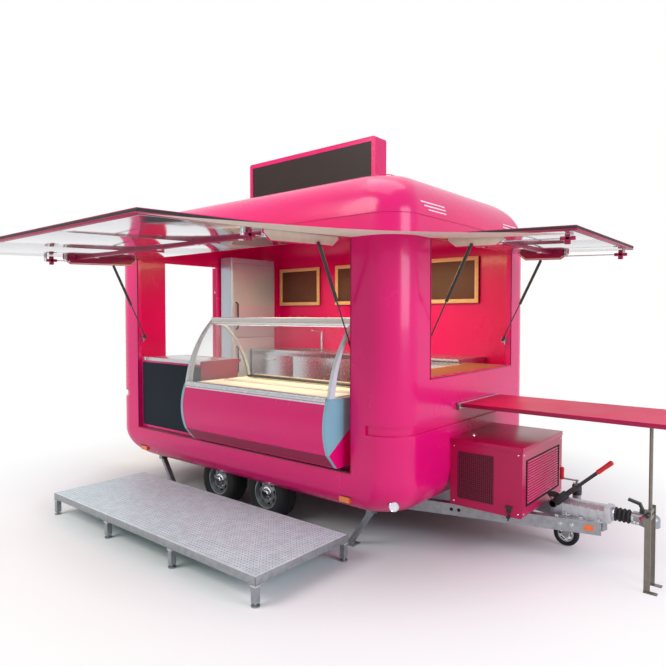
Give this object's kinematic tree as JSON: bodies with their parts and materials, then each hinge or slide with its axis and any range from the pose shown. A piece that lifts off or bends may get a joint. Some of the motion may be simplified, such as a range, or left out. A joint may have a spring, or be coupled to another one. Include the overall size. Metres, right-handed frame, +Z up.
{
  "type": "ice-cream sales trailer",
  "caption": "Rounded ice-cream sales trailer on tandem wheels, with top-hung flaps, sliding display case, step platform and roof sign.",
  "frame": {"origin": "on the ground below the middle of the whole set-up trailer's box", "axes": "+X forward to the coupling, +Y to the trailer's left, +Z up"},
  "size_m": [5.101, 3.8386, 3.31],
  "materials": {
    "pink_paint": "gloss",
    "dark_panel": "satin",
    "galvanised": "satin",
    "stainless": "brushed",
    "deck_plate": "chequered",
    "black_rubber": "matte",
    "tyre": "matte",
    "black_steel": "satin",
    "rod_steel": "polished",
    "glass": "clear",
    "pale_blue": "gloss",
    "white_plastic": "gloss",
    "chalkboard": "matte",
    "wood": "oiled",
    "fabric": "woven",
    "lamp": "clear"
  },
  "bodies": {
    "root": {"lower_tub": "pink_paint", "front_wall": "pink_paint", "rear_wall": "pink_paint", "rear_lintel": "pink_paint", "left_wall": "pink_paint", "right_wall": "pink_paint", "roof": "pink_paint", "sign_frame": "pink_paint", "sign_panels": "dark_panel", "hinge_fittings": "galvanised", "chassis_frame": "galvanised", "drawbar_beams": "galvanised", "axles": "galvanised", "overrun_housing": "galvanised", "gaiter": "black_rubber", "coupling_head": "galvanised", "hand_levers": "black_steel", "jockey_tube": "galvanised", "counter_cabinet": "stainless", "chalkboard": "chalkboard", "front_counter": "wood", "fridge": "stainless", "sink_worktop": "stainless", "menu_boards": "wood", "cooling_box": "pink_paint", "cooling_grilles": "pink_paint", "table_top": "pink_paint", "table_steel": "stainless", "platform_deck": "deck_plate", "platform_frame": "galvanised", "corner_canopy": "fabric", "lamps": "lamp"},
    "wheel_front_right": {"wheel_front_right": "tyre"},
    "wheel_front_left": {"wheel_front_left": "tyre"},
    "wheel_rear_right": {"wheel_rear_right": "tyre"},
    "wheel_rear_left": {"wheel_rear_left": "tyre"},
    "steady_front_right": {"steady_front_right": "galvanised"},
    "steady_front_left": {"steady_front_left": "galvanised"},
    "steady_rear_right": {"steady_rear_right": "galvanised"},
    "steady_rear_left": {"steady_rear_left": "galvanised"},
    "jockey_leg": {"jockey_leg": "rod_steel"},
    "jockey_fork": {"jockey_fork": "galvanised"},
    "jockey_wheel": {"jockey_wheel": "black_rubber"},
    "side_flap": {"side_flap": "pink_paint"},
    "side_strut_a_cylinder": {"side_strut_a_cylinder": "black_steel"},
    "side_strut_a_rod": {"side_strut_a_rod": "rod_steel"},
    "side_strut_b_cylinder": {"side_strut_b_cylinder": "black_steel"},
    "side_strut_b_rod": {"side_strut_b_rod": "rod_steel"},
    "front_flap": {"front_flap": "pink_paint"},
    "front_strut_a_cylinder": {"front_strut_a_cylinder": "black_steel"},
    "front_strut_a_rod": {"front_strut_a_rod": "rod_steel"},
    "front_strut_b_cylinder": {"front_strut_b_cylinder": "black_steel"},
    "front_strut_b_rod": {"front_strut_b_rod": "rod_steel"},
    "door": {"door_leaf": "pink_paint"},
    "display_case": {"case_carcass": "stainless", "case_front_panel": "pink_paint", "case_cheeks": "pale_blue", "case_glass": "glass", "case_canopy": "white_plastic", "case_tubs": "white_plastic"}
  },
  "joints": [
    {"name": "wheel_front_right_spin", "type": "hinge", "parent": "root", "child": "wheel_front_right", "pos_m": [-0.37948, 0.00726, 0.226], "axis": [0, 1, 0], "continuous": true},
    {"name": "wheel_front_left_spin", "type": "hinge", "parent": "root", "child": "wheel_front_left", "pos_m": [-0.37948, 1.63126, 0.226], "axis": [0, 1, 0], "continuous": true},
    {"name": "wheel_rear_right_spin", "type": "hinge", "parent": "root", "child": "wheel_rear_right", "pos_m": [-0.99948, 0.00726, 0.226], "axis": [0, 1, 0], "continuous": true},
    {"name": "wheel_rear_left_spin", "type": "hinge", "parent": "root", "child": "wheel_rear_left", "pos_m": [-0.99948, 1.63126, 0.226], "axis": [0, 1, 0], "continuous": true},
    {"name": "steady_front_right_fold", "type": "hinge", "parent": "root", "child": "steady_front_right", "pos_m": [0.68152, -0.01074, 0.284], "axis": [0, 1, 0], "range_deg": [0, 54.77]},
    {"name": "steady_front_left_fold", "type": "hinge", "parent": "root", "child": "steady_front_left", "pos_m": [0.68152, 1.64926, 0.284], "axis": [0, 1, 0], "range_deg": [0, 54.77]},
    {"name": "steady_rear_right_fold", "type": "hinge", "parent": "root", "child": "steady_rear_right", "pos_m": [-1.95048, -0.01074, 0.284], "axis": [0, -1, 0], "range_deg": [0, 54.77]},
    {"name": "steady_rear_left_fold", "type": "hinge", "parent": "root", "child": "steady_rear_left", "pos_m": [-1.95048, 1.64926, 0.284], "axis": [0, -1, 0], "range_deg": [0, 54.77]},
    {"name": "jockey_slide", "type": "slide", "parent": "root", "child": "jockey_leg", "axis": [0, 0, 1], "range_m": [-0.15, 0.015]},
    {"name": "jockey_swivel", "type": "hinge", "parent": "jockey_leg", "child": "jockey_fork", "pos_m": [1.83152, 1.00326, 0.202], "axis": [0, 0, 1], "continuous": true},
    {"name": "jockey_spin", "type": "hinge", "parent": "jockey_fork", "child": "jockey_wheel", "pos_m": [1.75952, 1.00326, 0.092], "axis": [0, 1, 0], "continuous": true},
    {"name": "side_flap_hinge", "type": "hinge", "parent": "root", "child": "side_flap", "pos_m": [-0.63448, -0.26574, 2.29], "axis": [1, 0, 0], "range_deg": [0, 88]},
    {"name": "side_strut_a_pivot", "type": "hinge", "parent": "side_flap", "child": "side_strut_a_cylinder", "pos_m": [-1.92048, -0.56312, 2.20957], "axis": [1, 0, 0], "range_deg": [-117.56, 0]},
    {"name": "side_strut_a_slide", "type": "slide", "parent": "side_strut_a_cylinder", "child": "side_strut_a_rod", "axis": [0, 0.4396, -0.8982], "range_m": [-0.30021, 0]},
    {"name": "side_strut_b_pivot", "type": "hinge", "parent": "side_flap", "child": "side_strut_b_cylinder", "pos_m": [0.65152, -0.56312, 2.20957], "axis": [1, 0, 0], "range_deg": [-117.56, 0]},
    {"name": "side_strut_b_slide", "type": "slide", "parent": "side_strut_b_cylinder", "child": "side_strut_b_rod", "axis": [0, 0.4396, -0.8982], "range_m": [-0.30021, 0]},
    {"name": "front_flap_hinge", "type": "hinge", "parent": "root", "child": "front_flap", "pos_m": [1.08052, 0.81926, 2.29], "axis": [0, 1, 0], "range_deg": [0, 88]},
    {"name": "front_strut_a_pivot", "type": "hinge", "parent": "front_flap", "child": "front_strut_a_cylinder", "pos_m": [1.3779, 0.16826, 2.20957], "axis": [0, 1, 0], "range_deg": [-117.56, 0]},
    {"name": "front_strut_a_slide", "type": "slide", "parent": "front_strut_a_cylinder", "child": "front_strut_a_rod", "axis": [-0.4396, 0, -0.8982], "range_m": [-0.30021, 0]},
    {"name": "front_strut_b_pivot", "type": "hinge", "parent": "front_flap", "child": "front_strut_b_cylinder", "pos_m": [1.3779, 1.47026, 2.20957], "axis": [0, 1, 0], "range_deg": [-117.56, 0]},
    {"name": "front_strut_b_slide", "type": "slide", "parent": "front_strut_b_cylinder", "child": "front_strut_b_rod", "axis": [-0.4396, 0, -0.8982], "range_m": [-0.30021, 0]},
    {"name": "door_hinge", "type": "hinge", "parent": "root", "child": "door", "pos_m": [-2.38048, 1.01226, 1.2], "axis": [0, 0, 1], "range_deg": [0, 175]},
    {"name": "case_slide", "type": "slide", "parent": "root", "child": "display_case", "axis": [0, 1, 0], "range_m": [0, 0.3]}
  ],
  "couplings": [
    {"joint": "side_strut_a_pivot", "follows": "side_flap_hinge", "ratio": -1.3302},
    {"joint": "side_strut_a_slide", "follows": "side_flap_hinge", "m_per_rad": -0.19416},
    {"joint": "side_strut_b_pivot", "follows": "side_flap_hinge", "ratio": -1.3302},
    {"joint": "side_strut_b_slide", "follows": "side_flap_hinge", "m_per_rad": -0.19416},
    {"joint": "front_strut_a_pivot", "follows": "front_flap_hinge", "ratio": -1.3302},
    {"joint": "front_strut_a_slide", "follows": "front_flap_hinge", "m_per_rad": -0.19416},
    {"joint": "front_strut_b_pivot", "follows": "front_flap_hinge", "ratio": -1.3302},
    {"joint": "front_strut_b_slide", "follows": "front_flap_hinge", "m_per_rad": -0.19416},
    {"joint": "case_slide", "follows": "side_flap_hinge", "m_per_rad": 0.19533}
  ]
}
